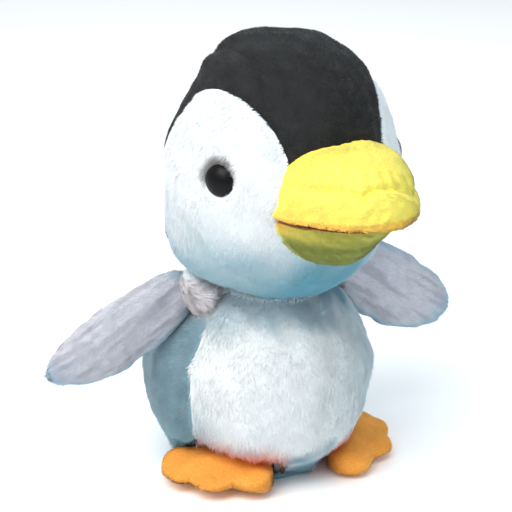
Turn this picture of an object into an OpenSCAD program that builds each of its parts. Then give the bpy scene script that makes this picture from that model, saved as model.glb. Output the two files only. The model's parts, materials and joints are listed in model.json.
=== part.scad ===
// Plush penguin, sitting upright on a flat base, with a big round head.
// Front is -Y, the penguin's right is -X, up is +Z, and z = 0 is the surface it stands on.

/* [Body] */
// Widest radius of the body
body_r = 62.5; // [52:0.5:75]
// Height of the body's upper half, above its widest level
body_up = 66; // [55:0.5:79]
// Height that the body's lower half would have if it were not cut flat
body_down = 56.5; // [47:0.5:68]
// Radius of the flat base
base_r = 35; // [29:0.5:42]
// Thickness of the base panel
base_t = 2; // [1.5:0.1:2.5]
// Angle from the front to each belly seam
belly_seam = 69; // [60:1:80]
// Radius of the bag of pellets that weights the seat
pellet_r = 28; // [23:0.5:33]
// Half height of the bag of pellets
pellet_h = 9; // [7:0.5:11]

/* [Neck] */
// Radius of the neck seam
neck_r = 26; // [22:0.5:31.5]
// Radius of the firm ball of stuffing in the neck
neck_core_r = 19; // [15.5:0.5:20.5]
// Forward lean of the neck
neck_lean = 7.4; // [4:0.1:9]
// How far the head nods each way, in degrees
nod_range = 8; // [4:1:9]

/* [Head] */
// Widest radius of the head
head_r = 61.5; // [51:0.5:74]
// Half height of the head
head_h = 70.4; // [58:0.1:85]
// Forward pitch of the face
head_pitch = 3; // [0:0.5:6]
// Half width of the gusset that runs over the crown
crown_half = 27; // [22:0.5:32]
// Radius of the round face patch, seen from the side
face_r = 43; // [36:0.5:47]
// How far the face patch's centre lies in front of the head's centre
face_forward = 11; // [8:0.5:14]
// How far the face patch's centre lies above the head's centre
face_raise = 5.5; // [3:0.5:8]
// How far the chin panel's back seam slopes forward towards the neck
chin_slope = 12; // [8:0.5:16]

/* [Bill] */
// Radius of the upper bill
bill_r = 35.5; // [30:0.5:40]
// How far the upper bill stands out in front of the head
bill_out = 34; // [28:0.5:41]
// How far the mouth lies below the head's centre
mouth_drop = 5.5; // [4:0.5:9]
// Radius of the lower bill's round underside
jaw_r = 33; // [28:0.5:36]
// How far the centre of the lower bill's underside lies above the mouth
jaw_raise = 8; // [6:0.5:11]
// How far the lower bill stands out in front of the head
jaw_out = 21.5; // [18:0.5:26]
// How far the lower bill opens, in degrees
jaw_range = 10; // [5:1:12]
// Thickness of the felt lining in the mouth
lining_t = 0.8; // [0.6:0.1:1.5]

/* [Eyes] */
// Diameter of each eye
eye_d = 16.4; // [13.5:0.2:20]
// Height of each eye's dome
eye_h = 5; // [4:0.1:6]
// Depth of the pocket that each eye sits in
eye_sink = 1.4; // [1:0.1:1.6]
// Angle from the front to each eye
eye_angle = 64; // [60:1:68]
// How far the eyes lie above the head's centre
eye_raise = 8.8; // [6:0.2:12]
// Diameter of the shank behind each eye
shank_d = 4.4; // [3.6:0.1:5.4]
// Length of the shank behind each eye
shank_l = 11; // [9:0.5:14]
// Diameter of the locking washer on each shank
washer_d = 15; // [12:0.5:18]
// Thickness of the locking washer
washer_t = 1.6; // [1.2:0.1:2.2]

/* [Flippers] */
// Length of each flipper from its shoulder
flipper_l = 98; // [81:1:118]
// Width of each flipper
flipper_w = 38; // [31:0.5:44]
// Thickness of each flipper at its middle
flipper_t = 11; // [9:0.5:13]
// Thickness of each flipper along its edge
flipper_edge = 3.4; // [3.2:0.1:4.5]
// Distance of each shoulder from the centre line
shoulder_x = 36; // [33:0.5:40]
// How far the right flipper hangs below level, in degrees
right_droop = 19; // [14:1:28]
// How far the left flipper hangs below level, in degrees
left_droop = 25; // [14:1:28]
// How far each flipper is pushed down, in degrees
flipper_fall = 15; // [8:1:18]

/* [Feet] */
// Thickness of each foot
foot_t = 9; // [7.5:0.5:11]
// How far each foot's seam lies outside the base
foot_set = 2.5; // [1.5:0.5:4]
// Angle from the front to each foot
foot_splay = 53; // [48:1:57]
// Size of each foot, where 1 has toes that spread 61 mm
foot_size = 1; // [0.84:0.01:1.12]
// How far each foot bends up, in degrees
foot_range = 20; // [10:1:22]

/* [Fabric] */
// Thickness of the plush on the body and head
plush_t = 2.4; // [2:0.1:2.8]
// Thickness of the short fabric on the bill, flippers and feet
felt_t = 1.4; // [1.1:0.1:1.6]
// Room between pieces that lie against each other
lie_gap = 0.1; // [0.05:0.05:0.2]
// Room between pieces that move past each other
move_gap = 0.4; // [0.3:0.1:0.6]

/* [Hidden] */
$fn = 96;
// larger than the whole object
far = 300;
// degrees between the rings of an oval
ring_step = 7.5;

// the patches, the gusset and the bill are sized for this head, and grow with it
sized_for_r = 61.5;
grown = head_r / sized_for_r;
patch_r = face_r * grown;
patch_forward = face_forward * grown;
gusset_half = crown_half * grown;
upper_r = bill_r * grown;
lower_r = jaw_r * grown;
lower_raise = jaw_raise * grown;

// heights and places that follow from the sizes
body_z = body_down * sqrt(1 - pow(base_r / body_r, 2));
neck_rise = body_up * sqrt(1 - pow(neck_r / body_r, 2));
head_rise = head_h * sqrt(1 - pow(neck_r / head_r, 2));
lean = [0, -sin(neck_lean), cos(neck_lean)];
neck_pos = [0, 0, body_z] + neck_rise * lean;
head_pos = neck_pos + head_rise * lean;
shoulder_z = body_z + body_up * sqrt(1 - pow(shoulder_x / body_r, 2));
mouth_z = -mouth_drop;
bill_reach = head_r + bill_out;
jaw_reach = head_r + jaw_out;
foot_seam = base_r + foot_set;
mouth_r = head_r * sqrt(1 - pow(mouth_drop / head_h, 2));
jaw_half = sqrt(lower_r * lower_r - lower_raise * lower_raise);
jaw_hinge = sqrt(mouth_r * mouth_r - jaw_half * jaw_half);
eye_ring = head_r * sqrt(1 - pow(eye_raise / head_h, 2));
eye_tip = atan2(eye_raise / pow(head_h, 2), eye_ring / pow(head_r, 2));
bill_curve = 2.4;
bill_root = 0.73;
flipper_curve = 2.3;

white_plush = [0.93, 0.96, 0.97];
grey_plush = [0.62, 0.68, 0.72];
black_plush = [0.13, 0.14, 0.15];
yellow_plush = [0.98, 0.88, 0.30];
orange_plush = [0.96, 0.60, 0.22];
filling = [0.97, 0.97, 0.94];

// ---- shapes that several pieces share ----

function power(v, p) = v <= 0 ? 0 : pow(v, p);

// a closed oval of revolution with its own upper and lower heights
module oval(r, up, down) {
  ring = [for (t = [-90:ring_step:90]) [abs(t) == 90 ? 0 : r * cos(t), (t > 0 ? up : down) * sin(t)]];
  rotate_extrude() polygon(ring);
}

module body_form(grow) {
  translate([0, 0, body_z]) oval(body_r + grow, body_up + grow, body_down + grow);
}

module head_oval(grow) {
  oval(head_r + grow, head_h + grow, head_h + grow);
}

// places children, drawn about the head's centre, on the leaning neck
module on_head() {
  translate(head_pos) rotate([head_pitch, 0, 0]) children();
}

// places children at the neck's centre, along its leaning axis
module on_neck() {
  translate(neck_pos) rotate([neck_lean, 0, 0]) children();
}

// the space below the neck's seam
module body_space() {
  on_neck() translate([0, 0, -far]) cylinder(r = far, h = far - move_gap);
}

// the space above the neck's seam, with room to nod
module head_space() {
  rise = far * tan(nod_range + 0.5);
  on_neck() rotate_extrude() polygon([[0, 0], [far, rise], [far, rise + far], [0, far]]);
}

module neck_room() {
  translate(neck_pos) sphere(r = neck_core_r + move_gap);
}

// ---- body ----

module belly_wedge() {
  x = far * sin(belly_seam);
  y = far * cos(belly_seam);
  linear_extrude(far) polygon([[0, 0], [-x, -y], [-far, -far], [far, -far], [x, -y]]);
}

module body_shell() {
  difference() {
    intersection() {
      body_form(0);
      body_space();
      translate([-far, -far, base_t + lie_gap]) cube([2 * far, 2 * far, far]);
    }
    body_form(-plush_t);
    neck_room();
    both_sides() foot_sweep();
  }
}

module both_sides() {
  children();
  mirror([1, 0, 0]) children();
}

module back_half(side) {
  difference() {
    intersection() {
      body_shell();
      translate([side > 0 ? 0 : -far, -far, 0]) cube([far, 2 * far, far]);
    }
    belly_wedge();
  }
}

module belly_panel() {
  color(white_plush) intersection() {
    body_shell();
    belly_wedge();
  }
}

module back_panel_right() {
  color(grey_plush) back_half(-1);
}

module back_panel_left() {
  color(grey_plush) back_half(1);
}

module base_panel() {
  color(grey_plush) cylinder(r = base_r, h = base_t);
}

module pellet_form(grow) {
  translate([0, 0, base_t + plush_t + pellet_h]) oval(pellet_r + grow, pellet_h + grow, pellet_h + grow);
}

module pellet_bag() {
  color("tan") pellet_form(0);
}

module body_stuffing() {
  color(filling) difference() {
    intersection() {
      body_form(-plush_t - lie_gap);
      body_space();
      translate([-far, -far, base_t + lie_gap]) cube([2 * far, 2 * far, far]);
    }
    pellet_form(lie_gap);
    neck_room();
    both_sides() foot_sweep();
  }
}

module neck_stuffing() {
  color(filling) translate(neck_pos) sphere(r = neck_core_r);
}

// ---- head ----

module head_shell() {
  difference() {
    intersection() {
      on_head() head_oval(0);
      head_space();
    }
    on_head() head_oval(-plush_t);
    neck_room();
  }
}

// the round patch on one side of the face
module face_zone(side) {
  on_head() translate([0, -patch_forward, face_raise]) rotate([0, side * 90, 0]) cylinder(r = patch_r, h = far);
}

// everything below the mouth and in front of the chin panel's back seam
module chin_zone() {
  seam = sqrt(pow(patch_r, 2) - pow(face_raise - mouth_z, 2)) - patch_forward;
  // the seam's slope is carried on below the head
  low = seam - chin_slope * (far + mouth_z) / (head_h + mouth_z);
  outline = [[-far, mouth_z], [seam, mouth_z], [low, -far], [-far, -far]];
  on_head() rotate([90, 0, 90]) translate([0, 0, -far]) linear_extrude(2 * far) polygon(outline);
}

module crown_zone() {
  on_head() translate([-gusset_half, -far, -far]) cube([2 * gusset_half, 2 * far, 2 * far]);
}

module side_zone(side) {
  on_head() translate([side > 0 ? 0 : -far, -far, -far]) cube([far, 2 * far, 2 * far]);
}

module crown_gusset() {
  color(black_plush) difference() {
    intersection() {
      head_shell();
      crown_zone();
    }
    face_zone(1);
    face_zone(-1);
    chin_zone();
  }
}

module cap_side(side) {
  color(black_plush) difference() {
    intersection() {
      head_shell();
      side_zone(side);
    }
    crown_zone();
    face_zone(side);
    chin_zone();
  }
}

module cap_side_right() {
  cap_side(-1);
}

module cap_side_left() {
  cap_side(1);
}

// places children on the head's skin at one eye, with +Z outwards
module at_eye(side) {
  turn = side > 0 ? eye_angle - 90 : -eye_angle - 90;
  on_head() rotate([0, 0, turn]) translate([eye_ring, 0, eye_raise]) rotate([0, 90 - eye_tip, 0]) children();
}

module face_panel(side) {
  color(white_plush) difference() {
    intersection() {
      head_shell();
      face_zone(side);
    }
    at_eye(side) translate([0, 0, -eye_sink]) cylinder(d = eye_d + 2 * lie_gap, h = far);
    at_eye(side) translate([0, 0, -shank_l]) cylinder(d = shank_d + 2 * lie_gap, h = far);
  }
}

module face_panel_right() {
  face_panel(-1);
}

module face_panel_left() {
  face_panel(1);
}

module chin_panel() {
  color(white_plush) difference() {
    intersection() {
      head_shell();
      chin_zone();
    }
    face_zone(1);
    face_zone(-1);
  }
}

module head_stuffing() {
  color(filling) difference() {
    intersection() {
      on_head() head_oval(-plush_t - lie_gap);
      head_space();
    }
    neck_room();
    for (side = [-1, 1]) at_eye(side) translate([0, 0, -eye_sink - shank_l - 1]) cylinder(d = washer_d + 1, h = far);
  }
}

module eye(side) {
  ball_r = (pow(eye_d / 2, 2) + pow(eye_h, 2)) / (2 * eye_h);
  color("black") at_eye(side) translate([0, 0, lie_gap - eye_sink]) {
    intersection() {
      translate([0, 0, eye_h - ball_r]) sphere(r = ball_r);
      cylinder(r = ball_r, h = 2 * eye_h);
    }
    translate([0, 0, -shank_l]) cylinder(d = shank_d, h = shank_l + 1);
  }
}

module eye_right() {
  eye(-1);
}

module eye_left() {
  eye(1);
}

module eye_washer(side) {
  color("ivory") at_eye(side) translate([0, 0, -plush_t - lie_gap - 1 - washer_t]) difference() {
    cylinder(d = washer_d, h = washer_t);
    translate([0, 0, -1]) cylinder(d = shank_d + 2 * lie_gap, h = washer_t + 2);
  }
}

module eye_washer_right() {
  eye_washer(-1);
}

module eye_washer_left() {
  eye_washer(1);
}

// ---- bill ----

// half of a bill's outline, from its root forwards to its tip, turned about the forward axis
module bill_form(r, reach) {
  root = bill_root * head_r;
  length = reach - root;
  ring = [for (t = [0:ring_step:90]) [r * power(cos(t), 2 / bill_curve), root + length * power(sin(t), 2 / bill_curve)]];
  rotate([90, 0, 0]) rotate_extrude() polygon(concat([[0, root]], ring));
}

module upper_bill_form(inset) {
  difference() {
    intersection() {
      translate([0, 0, mouth_z]) bill_form(upper_r - inset, bill_reach - inset);
      translate([-far, -far, mouth_z + inset]) cube([2 * far, 2 * far, far]);
    }
    head_oval(lie_gap + inset);
  }
}

module upper_bill_cover() {
  color(yellow_plush) on_head() difference() {
    upper_bill_form(0);
    upper_bill_form(felt_t);
  }
}

module upper_bill_stuffing() {
  color(filling) on_head() upper_bill_form(felt_t + lie_gap);
}

module mouth_lining() {
  color("maroon") on_head() difference() {
    intersection() {
      translate([0, 0, mouth_z]) bill_form(jaw_half, jaw_reach - 2);
      translate([-far, -far, mouth_z - lining_t - lie_gap]) cube([2 * far, 2 * far, lining_t]);
    }
    head_oval(lie_gap);
  }
}

// turns children, drawn about the head's centre, about the corners of the mouth
module about_jaw(angle) {
  translate([0, -jaw_hinge, mouth_z]) rotate([angle, 0, 0]) translate([0, jaw_hinge, -mouth_z]) children();
}

module lower_bill_form(inset) {
  top = mouth_z - lining_t - lie_gap - move_gap - inset;
  difference() {
    intersection() {
      translate([0, 0, mouth_z + lower_raise]) bill_form(lower_r - inset, jaw_reach - inset);
      translate([-far, -far, top - far]) cube([2 * far, 2 * far, far]);
    }
    for (angle = [0, -jaw_range]) about_jaw(angle) head_oval(1.5 * move_gap + inset);
  }
}

module lower_bill_cover() {
  color(yellow_plush) on_head() difference() {
    lower_bill_form(0);
    lower_bill_form(felt_t);
  }
}

module lower_bill_stuffing() {
  color(filling) on_head() lower_bill_form(felt_t + lie_gap);
}

// ---- flippers ----

// places children, drawn with +X towards the tip, at one shoulder
module on_shoulder(side) {
  droop = side > 0 ? left_droop : right_droop;
  mirror([side > 0 ? 0 : 1, 0, 0]) translate([shoulder_x, 0, shoulder_z]) rotate([0, droop, 0]) children();
}

// a flipper's outline, from the shoulder to the tip
module flipper_leaf(inset) {
  half_l = flipper_l / 2 - inset;
  half_w = flipper_w / 2 - inset;
  shape = 2 / flipper_curve;
  edge = [for (t = [0:10:180]) [-half_l * sign(cos(t)) * power(abs(cos(t)), shape), half_w * power(sin(t), shape)]];
  back = [for (p = [17:-1:1]) [edge[p].x, -edge[p].y]];
  translate([flipper_l / 2, 0]) polygon(concat(edge, back));
}

module flipper_form(inset) {
  crown = (flipper_t - flipper_edge) / 2;
  bow_r = (pow(flipper_w / 2, 2) + crown * crown) / (2 * crown);
  intersection() {
    rotate([90, 0, 0]) translate([0, 0, -far]) linear_extrude(2 * far) flipper_leaf(inset);
    intersection_for(face = [-1, 1]) translate([-far, face * (bow_r - flipper_t / 2), 0]) rotate([0, 90, 0])
      cylinder(r = bow_r - inset, h = 2 * far);
  }
}

// one side's flipper, cut clear of the body over its whole travel
module flipper_part(side, inset) {
  droop = side > 0 ? left_droop : right_droop;
  on_shoulder(side) difference() {
    children();
    for (angle = [0, flipper_fall / 2, flipper_fall]) rotate([0, -droop - angle, 0])
      translate([-shoulder_x, 0, -shoulder_z]) body_form(move_gap + inset);
  }
}

module flipper_cover(side, face) {
  flipper_part(side, 0) intersection() {
    difference() {
      flipper_form(0);
      flipper_form(felt_t);
    }
    translate([-far, face > 0 ? 0 : -far, -far]) cube([2 * far, far, 2 * far]);
  }
}

module flipper_stuffing(side) {
  color(filling) flipper_part(side, felt_t) flipper_form(felt_t + lie_gap);
}

module flipper_front_right() {
  color("lightsteelblue") flipper_cover(-1, -1);
}

module flipper_back_right() {
  color(grey_plush) flipper_cover(-1, 1);
}

module flipper_stuffing_right() {
  flipper_stuffing(-1);
}

module flipper_front_left() {
  color("lightsteelblue") flipper_cover(1, -1);
}

module flipper_back_left() {
  color(grey_plush) flipper_cover(1, 1);
}

module flipper_stuffing_left() {
  flipper_stuffing(1);
}

// ---- feet ----

// toe and heel circles of the left foot: distance out from the seam, distance outwards, radius
foot_circles = [[9, -15, 12], [16, 3, 14], [14, 20, 13], [6, 0, 13], [4, 12, 11]];

module foot_outline(grow) {
  for (c = foot_circles) translate([c.x * foot_size, c.y * foot_size]) circle(r = c.z * foot_size + grow);
}

// places children, drawn with +X towards the toes, at the left foot's seam on the floor
module at_left_foot() {
  rotate([0, 0, foot_splay - 90]) translate([foot_seam, 0, 0]) children();
}

// the left foot in its own place; its heel is cut round the base
module foot_form(grow, low, high) {
  difference() {
    translate([0, 0, low]) linear_extrude(high - low) intersection() {
      foot_outline(grow);
      translate([-grow, -far]) square([far, 2 * far]);
    }
    translate([-foot_seam, 0, -far]) cylinder(r = base_r + move_gap - grow, h = 2 * far);
  }
}

// the room that the left foot needs as it bends up about its seam
module foot_sweep() {
  for (angle = [0, foot_range / 2, foot_range]) at_left_foot()
    translate([0, 0, foot_t]) rotate([0, -angle, 0]) translate([0, 0, -foot_t])
      foot_form(move_gap, -far, foot_t + move_gap);
}

module foot_top(side) {
  color(orange_plush) mirror([side > 0 ? 0 : 1, 0, 0]) at_left_foot() difference() {
    foot_form(0, felt_t, foot_t);
    foot_form(-felt_t, -far, foot_t - felt_t);
  }
}

module foot_sole(side) {
  color(orange_plush) mirror([side > 0 ? 0 : 1, 0, 0]) at_left_foot() foot_form(0, 0, felt_t);
}

module foot_stuffing(side) {
  color(filling) mirror([side > 0 ? 0 : 1, 0, 0]) at_left_foot()
    foot_form(-felt_t - lie_gap, felt_t + lie_gap, foot_t - felt_t - lie_gap);
}

module foot_top_right() {
  foot_top(-1);
}

module foot_sole_right() {
  foot_sole(-1);
}

module foot_stuffing_right() {
  foot_stuffing(-1);
}

module foot_top_left() {
  foot_top(1);
}

module foot_sole_left() {
  foot_sole(1);
}

module foot_stuffing_left() {
  foot_stuffing(1);
}

belly_panel();
back_panel_right();
back_panel_left();
base_panel();
body_stuffing();
pellet_bag();
neck_stuffing();
crown_gusset();
cap_side_right();
cap_side_left();
face_panel_right();
face_panel_left();
chin_panel();
head_stuffing();
upper_bill_cover();
upper_bill_stuffing();
mouth_lining();
eye_right();
eye_left();
eye_washer_right();
eye_washer_left();
lower_bill_cover();
lower_bill_stuffing();
flipper_front_right();
flipper_back_right();
flipper_stuffing_right();
flipper_front_left();
flipper_back_left();
flipper_stuffing_left();
foot_top_right();
foot_sole_right();
foot_stuffing_right();
foot_top_left();
foot_sole_left();
foot_stuffing_left();
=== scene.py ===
import json
import math

import bmesh
import bpy
import numpy as np
from mathutils import Matrix, Quaternion, Vector
from mathutils.kdtree import KDTree


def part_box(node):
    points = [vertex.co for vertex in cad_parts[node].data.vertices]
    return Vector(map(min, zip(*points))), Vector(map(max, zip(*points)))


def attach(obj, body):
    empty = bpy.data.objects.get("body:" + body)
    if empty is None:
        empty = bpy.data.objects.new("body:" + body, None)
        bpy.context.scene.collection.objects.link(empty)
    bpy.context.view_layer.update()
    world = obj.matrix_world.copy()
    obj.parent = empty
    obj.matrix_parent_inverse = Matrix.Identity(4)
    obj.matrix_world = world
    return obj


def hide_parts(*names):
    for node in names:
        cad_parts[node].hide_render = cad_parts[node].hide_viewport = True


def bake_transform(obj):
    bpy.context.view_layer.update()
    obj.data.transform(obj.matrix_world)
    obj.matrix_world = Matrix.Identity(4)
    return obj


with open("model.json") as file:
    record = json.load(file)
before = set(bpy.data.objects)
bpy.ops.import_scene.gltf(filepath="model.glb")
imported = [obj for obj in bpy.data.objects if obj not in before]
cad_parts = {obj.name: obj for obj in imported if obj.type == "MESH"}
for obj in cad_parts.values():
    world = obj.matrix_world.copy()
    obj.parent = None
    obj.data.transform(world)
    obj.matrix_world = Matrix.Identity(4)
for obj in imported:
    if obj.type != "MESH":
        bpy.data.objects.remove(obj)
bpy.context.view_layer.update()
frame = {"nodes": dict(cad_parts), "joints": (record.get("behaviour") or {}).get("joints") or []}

mm = 0.001
up = Vector((0, 0, 1))
scene = bpy.context.scene
joints = {j["name"]: j for j in frame["joints"]}


# measures, all from the frame

neckAt = Vector(joints["head_nod"]["pos_m"])
lean = Vector(joints["neck_turn"]["axis"])
jawAt = Vector(joints["bill_open"]["pos_m"])
shoulderAt = {s: Vector(joints["flipper_lift_" + s]["pos_m"]) for s in ("right", "left")}
footAt = {s: Vector(joints["foot_bend_" + s]["pos_m"]) for s in ("right", "left")}
outward = {"right": -1, "left": 1}

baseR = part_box("base_panel")[1].x
bodyR = -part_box("belly_panel")[0].y
bodyAt = Vector((0, 0, neckAt.z - neckAt.y / lean.y * lean.z))
bodyUp = (shoulderAt["left"].z - bodyAt.z) / math.sqrt(1 - (shoulderAt["left"].x / bodyR) ** 2)
bodyDown = bodyAt.z / math.sqrt(1 - (baseR / bodyR) ** 2)

crownLow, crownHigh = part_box("crown_gusset")
headR = (crownHigh.y - crownLow.y) / 2
headAt = neckAt + lean * (((crownLow.y + crownHigh.y) / 2 - neckAt.y) / lean.y)
headUp = crownHigh.z - headAt.z
headTilt = math.radians(3)
headTurn = Matrix.Rotation(headTilt, 3, "X")
gussetHalf = crownHigh.x
faceLow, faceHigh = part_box("face_panel_right")
faceAt = (faceLow + faceHigh) / 2
faceR = (faceHigh.z - faceLow.z) / 2
jawLocal = headTurn.inverted() @ (jawAt - headAt)


# numbers and shapes that several pieces share

def unit(rows):
    return rows / np.maximum(np.linalg.norm(rows, axis=1, keepdims=True), 1e-12)


def waves(points, size, seed, count=7):
    # smooth wandering values, one for each axis, about 1 high and size metres across
    rng = np.random.default_rng(seed)
    k = rng.normal(size=(3, count, 3))
    k *= 2 * math.pi / size / np.linalg.norm(k, axis=2, keepdims=True)
    k *= rng.uniform(0.6, 1.5, (3, count, 1))
    phase = rng.uniform(0, 2 * math.pi, (3, count))
    out = np.zeros((len(points), 3))
    for axis in range(3):
        out[:, axis] = np.sin(points @ k[axis].T + phase[axis]).sum(1) / math.sqrt(count / 2)
    return out


def smooth(value, start, end):
    t = np.clip((value - start) / (end - start), 0, 1)
    return t * t * (3 - 2 * t)


def places(bm):
    return np.array([v.co for v in bm.verts]).reshape(-1, 3)


def place(bm, rows):
    for v, row in zip(bm.verts, rows):
        v.co = row


def swell(bm, heights):
    # moves each point along its own normal
    bm.normal_update()
    normals = np.array([v.normal for v in bm.verts])
    place(bm, places(bm) + normals * heights[:, None])


def treeOf(points):
    tree = KDTree(len(points))
    for i, co in enumerate(points):
        tree.insert(co, i)
    tree.balance()
    return tree


puff = {"scale": 20, "steps": 20, "pressure": 4.0, "slack": 0.03, "spread": 10, "mass": 0.2, "stretch": 20,
        "shear": 8, "bending": 0.3, "quality": 6}


def puffUp(bm, voxel, cap, held):
    # blows an even copy of the cover up as slack cloth, sewn down where held says, and moves the cover
    # with it; the copy is worked out larger, so that the solver stays steady
    own, grown = places(bm), puff["scale"]
    mesh = bpy.data.meshes.new("puff")
    bm.to_mesh(mesh)
    obj = bpy.data.objects.new("puff", mesh)
    scene.collection.objects.link(obj)
    mesh.transform(Matrix.Scale(grown, 4))
    remesh = obj.modifiers.new("even", "REMESH")
    remesh.mode = "VOXEL"
    remesh.voxel_size = voxel * mm * grown
    even = bpy.data.meshes.new_from_object(obj.evaluated_get(bpy.context.evaluated_depsgraph_get()))
    obj.modifiers.remove(remesh)
    obj.data = even
    start = np.array([v.co for v in even.vertices]) / grown
    seam = obj.vertex_groups.new(name="seam")
    seam.add([int(i) for i in np.nonzero(held(start))[0]], 1.0, "REPLACE")
    sim = obj.modifiers.new("cloth", "CLOTH")
    settings = sim.settings
    settings.quality = puff["quality"]
    settings.mass = puff["mass"]
    settings.tension_stiffness = settings.compression_stiffness = puff["stretch"]
    settings.shear_stiffness = puff["shear"]
    settings.bending_stiffness = puff["bending"]
    settings.use_pressure = True
    settings.uniform_pressure_force = puff["pressure"]
    settings.shrink_min = -puff["slack"]
    settings.effector_weights.gravity = 0
    settings.vertex_group_mass = "seam"
    sim.point_cache.frame_start, sim.point_cache.frame_end = 1, puff["steps"]
    for step in range(1, puff["steps"] + 1):
        scene.frame_set(step)
    done = bpy.data.meshes.new_from_object(obj.evaluated_get(bpy.context.evaluated_depsgraph_get()))
    moved = np.array([v.co for v in done.vertices]) / grown - start
    size = np.linalg.norm(moved, axis=1, keepdims=True)
    moved *= np.minimum(1, cap * mm / np.maximum(size, 1e-9))
    tree = treeOf(start)
    shift = np.zeros_like(own)
    for i, co in enumerate(own):
        found = tree.find_n(co, puff["spread"])
        weight = np.array([1 / (d + voxel * mm) for _, _, d in found])
        shift[i] = weight @ moved[[k for _, k, _ in found]] / weight.sum()
    place(bm, own + shift)
    scene.frame_set(1)
    bpy.data.objects.remove(obj)
    for spare in (mesh, even, done):
        bpy.data.meshes.remove(spare)
    furthest = float(np.linalg.norm(shift, axis=1).max() / mm)
    print("puffed", len(start), "points, up to", round(furthest, 2), "mm")


def meshObject(name, bm, material):
    bm.normal_update()
    bmesh.ops.recalc_face_normals(bm, faces=bm.faces[:])
    mesh = bpy.data.meshes.new(name)
    bm.to_mesh(mesh)
    bm.free()
    mesh.shade_smooth()
    mesh.materials.append(material)
    obj = bpy.data.objects.new(name, mesh)
    scene.collection.objects.link(obj)
    return obj


def ball(segments, rings):
    bm = bmesh.new()
    bmesh.ops.create_uvsphere(bm, u_segments=segments, v_segments=rings, radius=1)
    return bm


# materials

def nodeMaker(tree):
    def add(kind, inputs=None, **settings):
        made = tree.nodes.new(kind)
        for key, value in settings.items():
            setattr(made, key, value)
        for key, value in (inputs or {}).items():
            if isinstance(value, bpy.types.NodeSocket):
                tree.links.new(value, made.inputs[key])
            else:
                made.inputs[key].default_value = value
        return made
    return add


def newGroup(name, inputs, outputs):
    tree = bpy.data.node_groups.new(name, "ShaderNodeTree")
    for label, kind in inputs:
        tree.interface.new_socket(label, in_out="INPUT", socket_type="NodeSocket" + kind)
    for label, kind in outputs:
        tree.interface.new_socket(label, in_out="OUTPUT", socket_type="NodeSocket" + kind)
    add = nodeMaker(tree)
    return tree, add, add("NodeGroupInput"), add("NodeGroupOutput")


def srgb(r, g, b):
    # a colour given from 0 to 255, as the shader's linear values
    return tuple(((c / 255 + 0.055) / 1.055) ** 2.4 if c > 10 else c / 255 / 12.92 for c in (r, g, b)) + (1,)


def mix(add, share, first, second):
    made = add("ShaderNodeMix", {0: share, 6: first, 7: second}, data_type="RGBA")
    return made.outputs[2]


def tinted(add, given, colour):
    # the warm and the cool tint, as far as the piece's own attributes ask for them; the cool tint is painted
    # shade and light, and the warm one is painted shade on the face, the upper bill, the feet and the
    # shoulder tufts, painted reflected light on the belly, and the pile's own colour on the side panels and
    # the flippers
    for label in ("blush", "cool"):
        share = add("ShaderNodeAttribute", attribute_name=label)
        colour = mix(add, share.outputs["Fac"], colour, given.outputs[label.capitalize()])
    return colour


def pileToneGroup():
    # painted shade: darker towards the root, deep in the pile; each tuft a little different, with soft
    # patches across the skin
    colours = [(label, "Color") for label in ("Root", "Tip", "Patch", "Blush", "Cool")]
    amounts = [(label, "Float") for label in ("Spread", "Patches", "Patch size")]
    tree, add, given, out = newGroup("pileTone", colours + amounts, [("Color", "Color")])
    along = add("ShaderNodeAttribute", attribute_name="along")
    chance = add("ShaderNodeAttribute", attribute_name="chance")
    coord = add("ShaderNodeTexCoord")
    rise = add("ShaderNodeMath", {0: along.outputs["Fac"], 1: 0.7}, operation="POWER")
    base = mix(add, rise.outputs[0], given.outputs["Root"], given.outputs["Tip"])
    noise = add("ShaderNodeTexNoise", {"Vector": coord.outputs["Object"], "Detail": 3.0, "Roughness": 0.55,
                                       "Scale": given.outputs["Patch size"]})
    mask = add("ShaderNodeMapRange", {0: noise.outputs["Fac"], 1: 0.45, 2: 0.75, 3: 0.0,
                                      4: given.outputs["Patches"]})
    colour = tinted(add, given, mix(add, mask.outputs[0], base, given.outputs["Patch"]))
    centred = add("ShaderNodeMath", {0: chance.outputs["Fac"], 1: 0.5}, operation="SUBTRACT")
    amount = add("ShaderNodeMath", {0: centred.outputs[0], 1: given.outputs["Spread"], 2: 1.0},
                 operation="MULTIPLY_ADD")
    toned = add("ShaderNodeHueSaturation", {"Color": colour, "Value": amount.outputs[0]})
    tree.links.new(toned.outputs[0], out.inputs["Color"])
    return tree


def clothToneGroup():
    # a close knit seen between the tufts, painted darker in its dips as shade
    colours = [(label, "Color") for label in ("Cloth", "Dip", "Blush", "Cool")]
    amounts = [(label, "Float") for label in ("Knit", "Depth")]
    results = [("Color", "Color"), ("Normal", "Vector")]
    tree, add, given, out = newGroup("clothTone", colours + amounts, results)
    coord = add("ShaderNodeTexCoord")
    knit = add("ShaderNodeTexVoronoi", {"Vector": coord.outputs["Object"], "Scale": given.outputs["Knit"]})
    soft = add("ShaderNodeTexNoise", {"Vector": coord.outputs["Object"], "Scale": 90.0, "Detail": 4.0})
    both = add("ShaderNodeMath", {0: knit.outputs["Distance"], 1: soft.outputs["Fac"]}, operation="MULTIPLY")
    colour = tinted(add, given, mix(add, both.outputs[0], given.outputs["Dip"], given.outputs["Cloth"]))
    bump = add("ShaderNodeBump", {"Strength": given.outputs["Depth"], "Distance": 0.0006,
                                  "Height": both.outputs[0]})
    tree.links.new(colour, out.inputs["Color"])
    tree.links.new(bump.outputs[0], out.inputs["Normal"])
    return tree


pileTone = pileToneGroup()
clothTone = clothToneGroup()


def shaderMaterial(name):
    material = bpy.data.materials.new(name)
    material.use_nodes = True
    tree = material.node_tree
    tree.nodes.clear()
    add = nodeMaker(tree)
    shader = add("ShaderNodeBsdfPrincipled")
    add("ShaderNodeOutputMaterial", {"Surface": shader.outputs[0]})
    return material, add, shader


def group(add, tree, **inputs):
    made = add("ShaderNodeGroup", node_tree=tree)
    for key, value in inputs.items():
        made.inputs[key.replace("_", " ")].default_value = value
    return made


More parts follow.
